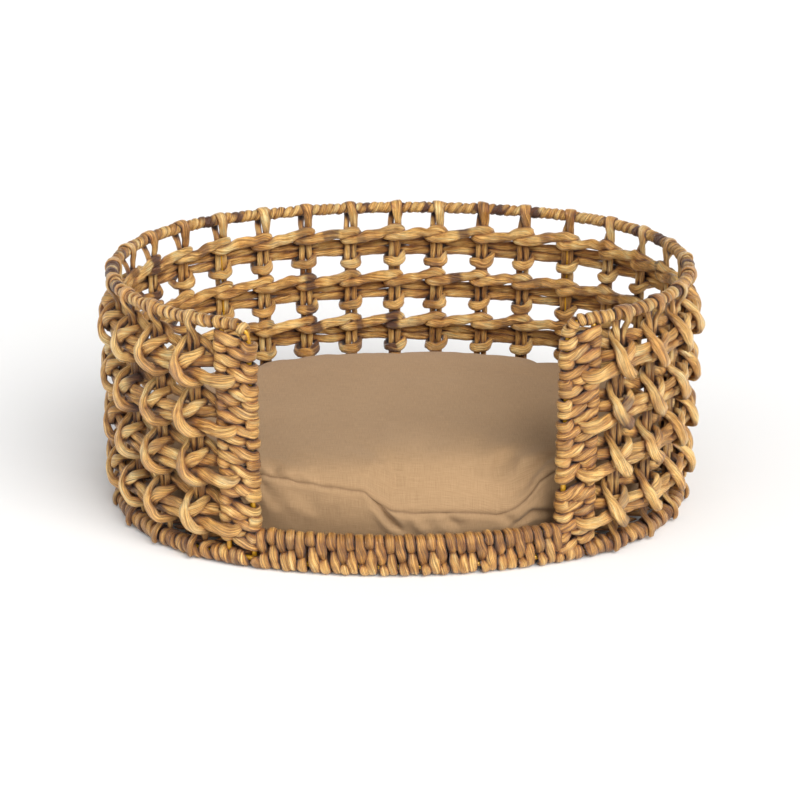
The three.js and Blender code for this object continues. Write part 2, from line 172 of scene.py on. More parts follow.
class Bundle:
    """Strands that become one mesh, with what the fibre material needs at each vertex."""

    def __init__(self, seed):
        self.rng = np.random.default_rng(seed)
        self.co, self.normal, self.faces, self.caps, self.fib, self.tone = ([] for _ in range(6))
        self.count = 0

    def strand(self, controls, width, thick, step, ring=12, tone=0.5, rough=1.0,
               taper=0.0, lobes=1.0, dark_spots=(), flat=False, spiral=0.03, edge=0.05):
        """A strand along control rows (run, offset, height, facing along, out, up, width share).
        With flat, rows are (x, y, z, facing x, y, z, width share). Dark spots are (run, reach, amount). Edge
        is painted shade: how much darker the strand's two sides are made."""
        rng = self.rng
        path, s = smooth(controls, step)
        places, facing, share = path[:, :3], path[:, 3:6], path[:, 6]
        world = places.copy() if flat else on_wall(places)
        tangent = unit(np.gradient(world, axis=0))
        face = facing if flat else wall_vectors(places[:, 0], facing)
        face = unit(face - tangent * np.sum(face * tangent, axis=1, keepdims=True))
        side = np.cross(tangent, face)
        turn = 0.22 * rough * wander(rng, s, 60.0)
        c, d = np.cos(turn)[:, None], np.sin(turn)[:, None]
        face, side = face * c + side * d, side * c - face * d
        w = width / 2 * share * (1 + 0.10 * rough * wander(rng, s, 45.0))
        fuller = np.interp(share, [0.8, 1.0, 1.25, 1.6, 2.0], [0.85, 1.0, 1.05, 0.78, 0.68])
        t = thick / 2 * fuller * (1 + 0.12 * rough * wander(rng, s, 37.0))
        if taper:
            end = np.minimum(np.minimum(s, s[-1] - s) / taper, 1.0)
            shrink = np.sqrt(np.clip(1 - (1 - end) ** 2, 0.06, 1))
            w, t = w * shrink, t * shrink
        world = world + 0.35 * rough * (side * wander(rng, s, 40.0)[:, None]
                                        + face * 0.5 * wander(rng, s, 33.0)[:, None])
        phi = np.arange(ring) / ring * 2 * math.pi
        px = np.sign(np.cos(phi)) * np.abs(np.cos(phi)) ** 0.95
        py = np.sign(np.sin(phi)) * np.abs(np.sin(phi)) ** 0.85
        twist = rng.uniform(0.6, 1.4) * spiral * rng.choice([-1, 1]) * s + rng.uniform(0, 6.3)
        bulge = 1 + lobes * (0.05 * np.cos(3 * phi[None] + twist[:, None] * 1.7)
                             + 0.04 * np.cos(5 * phi[None] - twist[:, None] * 2.1 + 1.0))
        away = (side[:, None, :] * (w[:, None] * px[None] * bulge)[..., None]
                + face[:, None, :] * (t[:, None] * py[None] * bulge)[..., None])
        n = len(s)
        i = np.arange(n - 1)[:, None] * ring
        j = np.arange(ring)[None]
        k = (j + 1) % ring
        quads = np.stack([i + j, i + k, i + ring + k, i + ring + j], -1).reshape(-1, 4)
        self.faces.append(quads + self.count)
        self.caps += [np.arange(ring)[::-1] + self.count, np.arange(ring) + self.count + (n - 1) * ring]
        angle = phi[None] + twist[:, None]
        origin = rng.uniform(0, 50)
        fib = np.stack([np.repeat((s / 1000 + origin)[:, None], ring, 1),
                        np.cos(angle) + origin, np.sin(angle)], -1)
        shade = tone + 0.17 * wander(rng, s, 90.0) + 0.08 * wander(rng, s, 25.0)
        deep = np.zeros(n)
        for centre, reach, amount in dark_spots:
            deep = np.maximum(deep, amount * np.clip(1.6 - np.abs(places[:, 0] - centre) / reach, 0, 1))
        self.co.append((world[:, None, :] + away).reshape(-1, 3))
        self.normal.append(unit(away).reshape(-1, 3))
        self.fib.append(fib.reshape(-1, 3))
        # Painted shade: the tone drops towards the strand's two sides, where it meets its neighbours.
        shade = shade[:, None] - edge * np.abs(px[None]) ** 3
        self.tone.append(np.stack([shade, np.repeat(deep[:, None], ring, 1)], -1).reshape(-1, 2))
        self.count += n * ring

    def build(self, name, material, crevice_shade=None):
        co = np.concatenate(self.co) * 0.001
        quads = np.concatenate(self.faces)
        ring = len(self.caps[0])
        caps = np.concatenate(self.caps)
        mesh = bpy.data.meshes.new(name)
        mesh.vertices.add(len(co))
        mesh.vertices.foreach_set("co", co.astype(np.float32).ravel())
        loops = np.concatenate([quads.ravel(), caps])
        mesh.loops.add(len(loops))
        mesh.loops.foreach_set("vertex_index", loops.astype(np.int32))
        starts = np.concatenate([np.arange(len(quads)) * 4,
                                 len(quads) * 4 + np.arange(len(self.caps)) * ring])
        mesh.polygons.add(len(starts))
        mesh.polygons.foreach_set("loop_start", starts.astype(np.int32))
        mesh.update(calc_edges=True)
        mesh.validate()
        shade_smooth(mesh)
        put(mesh, "fibre", np.concatenate(self.fib), "FLOAT_VECTOR", "vector")
        # tone holds the strand's tone less the painted shade at its sides.
        tones = np.concatenate(self.tone)
        put(mesh, "tone", tones[:, 0])
        put(mesh, "dark", tones[:, 1])
        # Painted shade for the crevices between strands, kept for the material.
        if crevice_shade is not None:
            put(mesh, "crevice_shade", crevice_shade)
        mesh.materials.append(material)
        return add_object(name, mesh)


woven = []
# Painted crevice shade: the grid's cell, how far ahead each vertex looks and with what weight, in
# millimetres, and how much strand ahead makes the painted shade fully dark.
CELL, LOOKS_AHEAD, FULL_CREVICE_SHADE = 2.5, ((5.0, 0.5), (9.0, 0.3), (14.0, 0.2)), 1.12


def weave_piece(bundle, made, node):
    """Keeps a finished bundle until all are there, so that painted shade can be put in the crevices between
    them.
    """
    woven.append((bundle, made, node))


def finish_weave():
    """Builds the kept bundles, with painted crevice shade from how much strand lies just in front of each
    vertex.
    """
    points = np.concatenate([co for bundle, _, _ in woven for co in bundle.co])
    low = points.min(0) - 8 * CELL
    size = np.ceil((points.max(0) + 8 * CELL - low) / CELL).astype(int)
    index = ((points - low) / CELL).astype(int)
    grid = np.bincount(np.ravel_multi_index(index.T, size), minlength=int(np.prod(size))).reshape(size)
    grid = np.minimum(grid, 4).astype(np.float32)
    for axis in range(3):
        grid = 0.5 * grid + 0.25 * (np.roll(grid, 1, axis) + np.roll(grid, -1, axis))
    for bundle, made, node in woven:
        co, normal = np.concatenate(bundle.co), np.concatenate(bundle.normal)
        total = np.zeros(len(co))
        for reach, weight in LOOKS_AHEAD:
            i = ((co + normal * reach - low) / CELL).astype(int)
            total += weight * grid[i[:, 0], i[:, 1], i[:, 2]]
        piece = bundle.build(f"{made}_{node}", straw, np.clip(total / FULL_CREVICE_SHADE, 0, 1))
        place(piece, "basket", "hyacinth_strand", node)


def place(piece, body, slot, *nodes):
    """Fixes a piece to its body and hides the CAD nodes it stands for; slot is not used."""
    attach(piece, body)
    if nodes:
        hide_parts(*nodes)
    return piece


# ---------------------------------------------------------------- materials
def linear(r, g, b):
    """A display colour, 0 to 255, as the linear colour a socket takes."""
    shares = [c / 255 for c in (r, g, b)]
    return tuple(((c + 0.055) / 1.055) ** 2.4 if c > 0.04 else c / 12.92 for c in shares) + (1.0,)


class Nodes:
    """Short hand for making a node material."""

    def __init__(self, name):
        self.material = bpy.data.materials.new(name)
        self.material.use_nodes = True
        self.tree = self.material.node_tree
        self.shader = self.tree.nodes["Principled BSDF"]

    def add(self, kind, inputs=None, **settings):
        node = self.tree.nodes.new(kind)
        for key, value in settings.items():
            setattr(node, key, value)
        for key, value in (inputs or {}).items():
            self.feed(node.inputs[key], value)
        return node

    def feed(self, socket, value):
        if isinstance(value, bpy.types.NodeSocket):
            self.tree.links.new(value, socket)
        else:
            socket.default_value = value

    def attribute(self, name, output="Fac"):
        return self.add("ShaderNodeAttribute", attribute_name=name).outputs[output]

    def where(self):
        """The place on the object."""
        return self.add("ShaderNodeTexCoord").outputs["Object"]

    def math(self, operation, a, b=0.0, clamp=False):
        node = self.add("ShaderNodeMath", operation=operation, use_clamp=clamp)
        self.feed(node.inputs[0], a)
        self.feed(node.inputs[1], b)
        return node.outputs[0]

    def plus(self, a, b, clamp=False):
        return self.math("ADD", a, b, clamp)

    def minus(self, a, b, clamp=False):
        return self.math("SUBTRACT", a, b, clamp)

    def times(self, a, b, clamp=False):
        return self.math("MULTIPLY", a, b, clamp)

    def noise(self, vector, scale, detail=3.0, roughness=0.55, distortion=0.0):
        node = self.add("ShaderNodeTexNoise", {"Scale": scale, "Detail": detail, "Roughness": roughness,
                                               "Distortion": distortion})
        if vector is not None:
            self.feed(node.inputs["Vector"], vector)
        return node.outputs[0]

    def ramp(self, factor, stops):
        node = self.add("ShaderNodeValToRGB")
        band = node.color_ramp
        while len(band.elements) < len(stops):
            band.elements.new(0.5)
        for element, (position, colour) in zip(band.elements, stops):
            element.position = position
            element.color = colour
        self.feed(node.inputs[0], factor)
        return node.outputs[0]

    def mix(self, factor, a, b, blend="MIX"):
        node = self.add("ShaderNodeMix", data_type="RGBA", blend_type=blend)
        self.feed(node.inputs[0], factor)
        self.feed(node.inputs[6], a)
        self.feed(node.inputs[7], b)
        return node.outputs[2]

    def stretch(self, vector, scale):
        node = self.add("ShaderNodeMapping", {"Scale": scale})
        self.feed(node.inputs["Vector"], vector)
        return node.outputs[0]

    def colour(self, value):
        self.feed(self.shader.inputs["Base Color"], value)

    def roughness(self, factor, first, last):
        """Roughness that goes with a factor, between two (factor, roughness) stops."""
        stops = [(at, (value, value, value, 1)) for at, value in (first, last)]
        self.feed(self.shader.inputs["Roughness"], self.ramp(factor, stops))

    def bump(self, height, strength, distance):
        node = self.add("ShaderNodeBump", {"Strength": strength, "Distance": distance, "Height": height})
        self.feed(self.shader.inputs["Normal"], node.outputs[0])

    def gloss(self, **values):
        """Values that are the same all over, set on the shader's own sockets."""
        for name, value in values.items():
            self.shader.inputs[name.replace("_", " ").title().replace("Ior", "IOR")].default_value = value


def straw_material(name):
    """Dried hyacinth: long fibres, folds and drifting straw, tan and grey tones, with painted shade in the
    folds and crevices.
    """
    n = Nodes(name)
    fibre = n.attribute("fibre", "Vector")
    tone = n.attribute("tone")
    dark = n.attribute("dark")
    crevice_shade = n.attribute("crevice_shade")
    fine = n.noise(n.stretch(fibre, (64.0, 12.0, 12.0)), 1.0, 5.0, 0.68)
    broad = n.noise(n.stretch(fibre, (26.0, 2.3, 2.3)), 1.0, 3.0, 0.55, 0.4)
    folds = n.noise(n.stretch(fibre, (14.0, 3.6, 3.6)), 1.0, 2.0, 0.5, 0.2)
    patch = n.noise(n.stretch(fibre, (18.0, 0.8, 0.8)), 1.0, 2.0)
    level = n.plus(tone, n.times(n.minus(fine, 0.5), 1.15))
    level = n.plus(level, n.times(n.minus(broad, 0.5), 0.85), clamp=True)
    colour = n.ramp(level, [
        (0.0, linear(74, 38, 10)), (0.2, linear(140, 88, 30)), (0.42, linear(206, 145, 66)),
        (0.64, linear(248, 196, 110)), (1.0, linear(255, 240, 178))])
    grey = n.times(n.minus(patch, 0.54, clamp=True), 3.0, clamp=True)
    colour = n.mix(grey, colour, n.ramp(level, [
        (0.0, linear(74, 54, 34)), (0.5, linear(162, 132, 90)), (1.0, linear(226, 200, 154))]))
    # Painted shade: darker brown in the low places of the folds, which the bump sinks too.
    crease_shade = n.times(n.minus(0.4, folds, clamp=True), 6.0, clamp=True)
    colour = n.mix(crease_shade, colour, linear(86, 54, 28))
    # Painted shade: a thin dark line in the groove along each fold, which the bump sinks too.
    from_line = n.times(n.math("ABSOLUTE", n.minus(folds, 0.5)), 20.0)
    line = n.minus(1.0, from_line, clamp=True)
    colour = n.mix(n.times(line, 0.6), colour, linear(112, 70, 32))
    deep = n.plus(dark, n.times(n.minus(broad, 0.5), 0.8))
    deep = n.times(n.minus(deep, 0.35, clamp=True), 2.4, clamp=True)
    stain = n.ramp(fine, [(0.3, linear(44, 22, 12)), (0.7, linear(122, 72, 40))])
    colour = n.mix(deep, colour, stain)
    # Painted crevice shade: the colour is darkened where other strands lie just in front of the surface.
    shade = n.ramp(crevice_shade, [(0.0, (1, 1, 1, 1)), (0.3, (0.64, 0.48, 0.36, 1)),
                            (0.72, (0.08, 0.045, 0.025, 1))])
    colour = n.mix(1.0, colour, shade, "MULTIPLY")
    n.colour(colour)
    n.roughness(fine, (0.25, 0.24), (0.8, 0.42))
    n.gloss(specular_ior_level=0.8, sheen_weight=0.06)
    swells = n.times(n.plus(folds, broad), 0.7)
    height = n.plus(n.times(fine, 0.6), swells)
    height = n.minus(height, n.times(line, 0.3))
    n.bump(height, 1.0, 0.0022)
    return n.material


def lacquer_material():
    n = Nodes("golden_lacquer")
    where = n.where()
    cloud = n.noise(where, 90.0, 3.0)
    n.colour(n.ramp(cloud, [(0.3, linear(176, 122, 20)), (0.7, linear(226, 172, 44))]))
    n.roughness(cloud, (0.2, 0.2), (0.8, 0.36))
    n.gloss(metallic=0.35, coat_weight=0.5)
    n.bump(n.noise(where, 260.0, 2.0), 0.15, 0.0004)
    return n.material


straw = straw_material("hyacinth_strand")
lacquer = lacquer_material()

# ---------------------------------------------------------------- weave
IN, OUT, CW, CCW, UP, DOWN = (0, -1, 0), (0, 1, 0), (1, 0, 0), (-1, 0, 0), (0, 0, 1), (0, 0, -1)


def facing(a, b, share=0.5):
    """A direction between two, nearer b as share grows."""
    return tuple(x * (1 - share) + y * share for x, y in zip(a, b))


seeds = np.random.default_rng(2024)
stake_runs = {}
for i in STAKES:
    stake_runs[i] = i * STAKE_PITCH + (seeds.uniform(-2.0, 2.0) if abs(i) < STAKES_SIDE else -i / 3)


def build_stake(i):
    bundle = Bundle(100 + i)
    rng = bundle.rng
    run = stake_runs[i]
    leg, depth = 3.6, -3.1
    lean = rng.uniform(-1.0, 1.0)
    # One leg up from the base, over the rim and the other leg down.
    rows = [(leg, 9.6, 2.6, OUT, 1.0), (leg, 11.6, 9, OUT, 1.05), (leg, 9.4, 17.5, facing(OUT, UP), 1.05),
            (leg, 3.0, 22.5, UP, 1.0), (leg, -2.2, 29, facing(UP, OUT), 1.0)]
    rows += [(leg, depth, height, OUT, 1.0) for height in (45, 100, 150, 205)]
    rows += [(leg, -3.4, 222, OUT, 1.1), (leg, -5.2, 236, OUT, 1.4),
             (leg - 1.2 + lean, -6.2, 246.5, OUT, 1.8),
             (leg - 2.0 + lean, -4.5, 251.6, facing(OUT, DOWN), 1.85),
             (leg - 3.0 + lean, 0, 253.3, DOWN, 1.85),
             (leg - 4 + lean, 4.6, 251.4, facing(IN, DOWN), 1.7), (-1.0, 6.3, 246, IN, 1.4),
             (-2.6, 4.6, 239, facing(IN, UP, 0.4), 1.1), (-3.6, 0.8, 234, facing(IN, UP, 0.4), 1.0),
             (-leg - 0.2, -2.6, 227, IN, 1.0)]
    rows += [(-leg, depth, height, IN, 1.0) for height in (205, 150, 100, 45, 22)]
    rows.append((-leg, -3.8, 15, IN, 0.8))
    controls = [[run + side + rng.uniform(-0.4, 0.4), offset, height, *face, share]
                for side, offset, height, face, share in rows]
    bundle.strand(controls, 6.8, 4.8, step=3.0, tone=rng.uniform(0.4, 0.64), taper=3.0)
    weave_piece(bundle, "woven", f"stake_{i + STAKES_SIDE + 1:02d}")


def build_weft(row, height):
    bundle = Bundle(300 + row)
    rng = bundle.rng
    skin = 3.4

    def level(side, first, last):
        return [(s, skin + 0.5 * rng.normal(), height + side * 4.7 + 0.8 * rng.normal(), OUT,
                 1 + 0.06 * rng.normal()) for s in np.arange(first, last, 25.0 if last > first else -25.0)]

    # From the lower strand in front of the outer rod of a post, round it and back behind it.
    end = [(575, skin, -4.7, OUT, 1.0), (600, 4.8, -5.8, OUT, 1.15), (616, 8.6, -7.4, OUT, 1.25),
           (627, 11.2, -8.2, OUT, 1.3), (635.5, 10.4, -7.6, facing(OUT, CW, 0.4), 1.15),
           (640.5, 3, -4.5, CW, 0.9), (638, -6, -0.5, facing(IN, CW, 0.4), 0.85), (628, -8.5, 2.4, IN, 0.95),
           (614, -4, 4.8, IN, 1.1), (600, 1.5, 5.4, IN, 1.15), (575, skin, 4.7, IN, 1.05)]
    right = [(s, o, height + rise, face, share) for s, o, rise, face, share in end]
    left = [(-s, o, h, (-face[0], *face[1:]), share) for s, o, h, face, share in right[::-1]]
    turned = [(s, o, h, IN, share) for s, o, h, _, share in level(1, 550, -560)]
    rows = level(-1, 25, 560) + right + turned + left + level(-1, -550, -20)
    rows = [(2.0, skin, height - 4.7, OUT, 1.0)] + rows + [(-2.0, skin, height - 4.7, OUT, 1.0)]
    bundle.strand([[r[0], r[1], r[2], *r[3], r[4]] for r in rows], 10.8, 7.0, step=3.0, tone=0.53, taper=2.0,
                  lobes=1.1, edge=0.06)
    weave_piece(bundle, "woven", f"weft_row_{row + 1}")


# One knot: (along from the stake, offset, rise from the row, facing, width share).
KNOT = [
    (-9, -8.3, 20.6, IN, 1.02), (0, -9.0, 23.4, IN, 1.08), (5.5, -8.4, 22.8, IN, 1.0),
    (8.8, -4.4, 20.0, facing(IN, CW), 0.86), (9.4, 1.8, 16.4, CW, 0.84),
    (9.8, 7.8, 11.0, facing(CW, OUT, 0.5), 0.96), (9.0, 12.2, 4.8, facing(CW, OUT, 0.85), 1.15),
    (6.0, 14.8, -2.6, OUT, 1.27), (1.0, 14.8, -8.8, OUT, 1.25), (-4.4, 12.4, -13.0, OUT, 1.12),
    (-8.2, 6.8, -15.2, facing(OUT, CCW, 0.4), 0.96), (-9.8, 1.0, -16.0, CCW, 0.84),
    (-9.6, -5.0, -15.4, facing(CCW, IN), 0.88),
    (-5.5, -8.3, -14.9, IN, 1.02), (1.5, -8.9, -15.0, IN, 1.08), (7.0, -7.8, -12.8, IN, 1.0),
    (9.4, -2.8, -9.4, facing(IN, CW), 0.84), (9.6, 3.2, -6.0, CW, 0.84),
    (7.2, 8.0, -1.6, OUT, 1.0), (2.0, 9.8, 4.0, OUT, 1.12), (-3.8, 9.6, 9.4, OUT, 1.12),
    (-8.0, 6.4, 13.2, facing(OUT, CCW, 0.4), 1.0), (-9.8, 0.8, 14.6, CCW, 0.84),
    (-9.0, -5.8, 13.6, facing(CCW, IN, 0.6), 0.92), (-2.5, -8.6, 13.0, IN, 1.04),
    (8.0, -8.8, 14.2, IN, 1.08), (20.0, -8.2, 16.8, IN, 1.14), (31.0, -8.2, 19.0, IN, 1.1),
]


def build_hitch(row, height):
    bundle = Bundle(500 + row)
    rng = bundle.rng
    first, last = stake_runs[-STAKES_SIDE], stake_runs[STAKES_SIDE]
    spots = [(s, rng.uniform(4, 8), rng.uniform(0.45, 0.8)) for s in rng.uniform(-600, 600, 11)]
    controls = [[first - 33, -4.0, height + 8, *IN, 0.9], [first - 24, -7.0, height + 13, *IN, 1.0]]
    for i in STAKES:
        run = stake_runs[i]
        nudge = rng.normal(0, 0.9, 3)
        scale = 1 + 0.05 * rng.normal()
        for along, offset, rise, face, share in KNOT:
            if i == STAKES_SIDE and along > 15 and offset < 0:
                continue
            jit = rng.normal(0, 0.5, 3)
            controls.append([run + along * scale + nudge[0] + jit[0], offset + 0.5 * jit[1],
                             height + rise + nudge[2] + jit[2], *face, share * (1 + 0.04 * rng.normal())])
    controls += [[last + 20, -8.0, height + 17, *IN, 1.0], [last + 32, -5.0, height + 20, *IN, 0.9]]
    bundle.strand(controls, 10.2, 7.2, step=2.6, ring=14, tone=0.57, taper=2.0, lobes=1.1,
                  spiral=0.045, edge=0.06, dark_spots=spots)
    weave_piece(bundle, "woven", f"hitch_row_{row + 1}")


def coil(bundle, centre, radius, pitch, hand, width, thick, wobble=0.4, tone=0.5, dark_spots=(), lean=0.0,
         dips=()):
    """A strand wound round a path given as rows (run, height, travel along, travel up).
    dips are runs where a stake presses the coil in."""
    centre = np.asarray(centre, float)
    gaps = np.linalg.norm(np.diff(centre[:, :2], axis=0), axis=1)
    t = np.concatenate([[0], np.cumsum(gaps)])
    steps_a_turn = 10
    k = np.arange(int(t[-1] / pitch * steps_a_turn) + 1)
    rng = bundle.rng
    wound = k / steps_a_turn * pitch
    along = np.clip(wound + wobble * pitch * 0.35 * wander(rng, wound, 60.0), 0, t[-1])
    angle = hand * k / steps_a_turn * 2 * math.pi + rng.uniform(0, 6)
    run = np.interp(along, t, centre[:, 0])
    height = np.interp(along, t, centre[:, 1])
    ta, tu = np.interp(along, t, centre[:, 2]), np.interp(along, t, centre[:, 3])
    size = np.hypot(ta, tu)
    ta, tu = ta / size, tu / size
    r = radius * (1 + 0.1 * wander(rng, along, 19.0))
    for dip in dips:
        r = r - 0.9 * np.exp(-((run - dip) / 5.0) ** 2)
    cos, sin = np.cos(angle), np.sin(angle)
    shift = lean * sin * (1 + 0.5 * wander(rng, along, 70.0))
    rows = np.stack([run + r * sin * -tu + shift * ta, r * cos, height + r * sin * ta + shift * tu,
                     -tu * sin, cos, ta * sin, 1 + 0.07 * wander(rng, along, 19.0)], -1)
    bundle.strand(rows, width, thick, step=2.3, ring=10, tone=tone, dark_spots=dark_spots, rough=0.8,
                  taper=2.0, spiral=0.06, edge=0.22)


def rim_path():
    start = INNER_ROD - CORNER
    bend = [(start + CORNER * math.sin(a), RIM_HEIGHT - CORNER * (1 - math.cos(a)),
             math.cos(a), -math.sin(a)) for a in np.radians([8, 20, 32, 44, 56, 68, 80])]
    level = [(s, RIM_HEIGHT, 1.0, 0.0) for s in np.linspace(-start, start, 120)]
    return [(-s, h, c, -d) for s, h, c, d in bend[:6][::-1]] + level + bend


def build_wraps():
    rim = Bundle(700)
    rng = rim.rng
    spots = [(s, rng.uniform(3, 8), rng.uniform(0.75, 1.0))
             for s in (-470, -428, -405, -366, -300, -215, -178, -30, 4, 36, 96, 118, 160, 250, 292, 330,
                       420, 505)]
    coil(rim, rim_path(), radius=3.9, pitch=7.9, hand=-1, width=8.2, thick=5.2, tone=0.57,
         dark_spots=spots, lean=2.6, dips=[run + 1.5 for run in stake_runs.values()])
    weave_piece(rim, "coiled", "rim_wrap")

    base = Bundle(701)
    path = [(s, BASE_HEIGHT + 0.9, 1.0, 0.0) for s in np.linspace(-POST_INNER + 3, POST_INNER - 3, 140)]
    coil(base, path, radius=6.2, pitch=10.4, hand=-1, width=11.4, thick=6.4, wobble=0.9, tone=0.38,
         lean=5.0)
    weave_piece(base, "coiled", "base_wrap")


def lacing(bundle, origin, across, down, gap, start, stop, pitch, slant, width, thick, crossing, uneven,
           tone):
    """A strand laced in eights round two rods, crossing between them nearer one, then nearer the other.
    origin, across and down are (run, height) pairs: u runs from rod to rod, v along them. gap is the
    distance between the rods, and crossing the share of it at which the strand crosses."""
    rng = bundle.rng
    r = 4.9  # from a rod's middle to the middle of the strand round it
    rows = []

    def at(u, n, v, fu, fn, share=1.0):
        rows.append([origin[0] + across[0] * u + down[0] * v, n + rng.normal(0, 0.12),
                     origin[1] + across[1] * u + down[1] * v, across[0] * fu, fn, across[1] * fu, share])

    v, column = start, 0
    while v < stop:
        p = pitch * (1 + min(0.08 * rng.normal(), 0.08))
        tilt = slant * (1 + 0.2 * rng.normal()) + rng.normal(0, 0.9)
        cross = gap * (crossing if column % 2 == 0 else 1 - crossing) + rng.normal(0, uneven)
        cross = min(max(cross, gap * 0.16), gap * 0.84)
        far, near = column % 2 == 0, column % 2 == 1
        first = r + (0.2 if far else 1.1)
        second = r + (0.2 if near else 1.1)

        def s(u):
            return v + tilt * u / gap

        at(-first * 0.72, -first * 0.7, s(0) - p * 0.12, -0.7, -0.7)
        at(-first, 0.2, s(0) - p * 0.06, -1, 0)
        at(-first * 0.62, first * 0.78, s(0), -0.6, 0.8, 1.02)
        if far:
            at(2, r + 0.5, s(2), 0, 1, 1.08)
            at(cross * 0.5, r + 0.7, s(cross * 0.5), 0, 1, 1.12)
            at(cross - 5, r * 0.86, s(cross - 5) - 0.3, 0.2, 0.98, 0.98)
        else:
            at(-first * 0.05, first, s(1), 0, 1, 1.06)
            at(cross - 2.6, first * 0.8, s(cross), 0.4, 0.9, 1.0)
        at(cross + 1.6, 0.0, s(cross) - 1.0, 0.75, 0.65, 0.82)
        at(min(cross + 6.5, gap - 1), -r * 0.85, s(gap), 0.2, 0.95, 0.9)
        at(gap + r * 0.2, -r * 1.02, s(gap) + 0.6, 0, 1)
        at(gap + second * 0.75, -second * 0.66, s(gap) + 0.7, -0.7, 0.7)
        at(gap + second, 0.2, s(gap) + 0.6, -1, 0)
        at(gap + second * 0.62, second * 0.78, s(gap) + 0.5, -0.6, -0.8, 1.02)
        if near:
            at(gap - 2, r + 0.5, s(gap - 2), 0, -1, 1.08)
            at((gap + cross) * 0.5 + 1, r + 0.7, s((gap + cross) * 0.5), 0, -1, 1.12)
            at(cross + 6.4, r * 0.86, s(cross + 6) + 0.3, 0.2, -0.98, 0.98)
        else:
            at(gap + second * 0.05, second, s(gap), 0, -1, 1.06)
            at(cross + 3.8, second * 0.8, s(cross) + 0.3, 0.4, -0.9, 1.0)
        at(cross - 0.6, 0.0, s(cross) + 1.2, 0.75, -0.65, 0.82)
        at(max(cross - 5.5, 1), -r * 0.85, v + p * 0.62, 0.2, -0.95, 0.9)
        at(-r * 0.2, -r * 1.02, v + p * 0.78, 0, -1)
        v += p
        column += 1
    bundle.strand(rows, width, thick, step=2.4, tone=tone, rough=0.8, taper=2.0, lobes=1.1, spiral=0.05,
                  edge=0.12)


def build_posts_and_sill():
    for side, sign in (("left", -1), ("right", 1)):
        post = Bundle(720 + sign)
        lacing(post, (sign * OUTER_ROD, 236.0), (sign, 0), (0, -1), INNER_ROD - OUTER_ROD, 0.0, 214.0,
               pitch=9.9, slant=8.5, width=10.6, thick=5.8, crossing=0.78, uneven=2.4, tone=0.5)
        weave_piece(post, "laced", f"post_wrap_{side}")
    sill = Bundle(730)
    lacing(sill, (PERIMETER - POST_INNER - 1, SILL_ROD_HEIGHT), (0, -1), (-1, 0),
           SILL_ROD_HEIGHT - BASE_HEIGHT, 1.5, ENTRANCE - 1,
           pitch=9.3, slant=3.8, width=9.6, thick=5.8, crossing=0.77, uneven=2.6, tone=0.46)
    weave_piece(sill, "laced", "sill_wrap")


def build_floor_mat():
    """Flat strands in pairs over and under cross strands, cut to the oval."""
    mat = Bundle(740)
    rng = mat.rng
    around, out = oval(np.linspace(0, PERIMETER, 721)[:-1])
    edge = around - out * 12.5
    middle, over, pitch, row_pitch = 13.9, 1.15, 24.0, 11.0
    cross_at = np.arange(-11, 12) * pitch
    rows_at = list(enumerate(np.arange(-17, 18) * row_pitch))

    def lift(x, k):
        """Rows go over and under the cross strands in turn."""
        return over if (int(round(x / pitch)) + k) % 2 == 0 else -over

    def reach(value, axis):
        other = 1 - axis
        d = edge[:, axis] - value - 1e-4
        flips = np.nonzero(d * np.roll(d, -1) < 0)[0]
        ends = sorted(float(edge[i, other]) for i in flips)
        return (ends[0], ends[-1]) if len(ends) >= 2 else None

    for k, y in rows_at:
        span = reach(y, 1)
        xs = [span[0]] + [x for x in cross_at if span[0] + 6 < x < span[1] - 6] + [span[1]]
        rows = []
        for x in xs:
            rise = lift(x, k) if x in cross_at else 0.0
            rows.append([x, y + SHIFT_Y + rng.normal(0, 0.3), middle + rise, *UP, 1.0])
        mat.strand(rows, 10.4, 2.2, step=5.0, ring=8, tone=0.46, rough=0.3, flat=True, taper=1.5)
    for x in cross_at:
        span = reach(x, 0)
        rows = []
        for k, y in rows_at:
            if span[0] + 3 < y < span[1] - 3:
                rows.append([x, y + SHIFT_Y, middle - lift(x, k), *UP, 1.0])
        mat.strand(rows, 7.0, 2.0, step=3.5, ring=8, tone=0.4, rough=0.3, flat=True, taper=1.5)
    weave_piece(mat, "woven", "floor_mat")


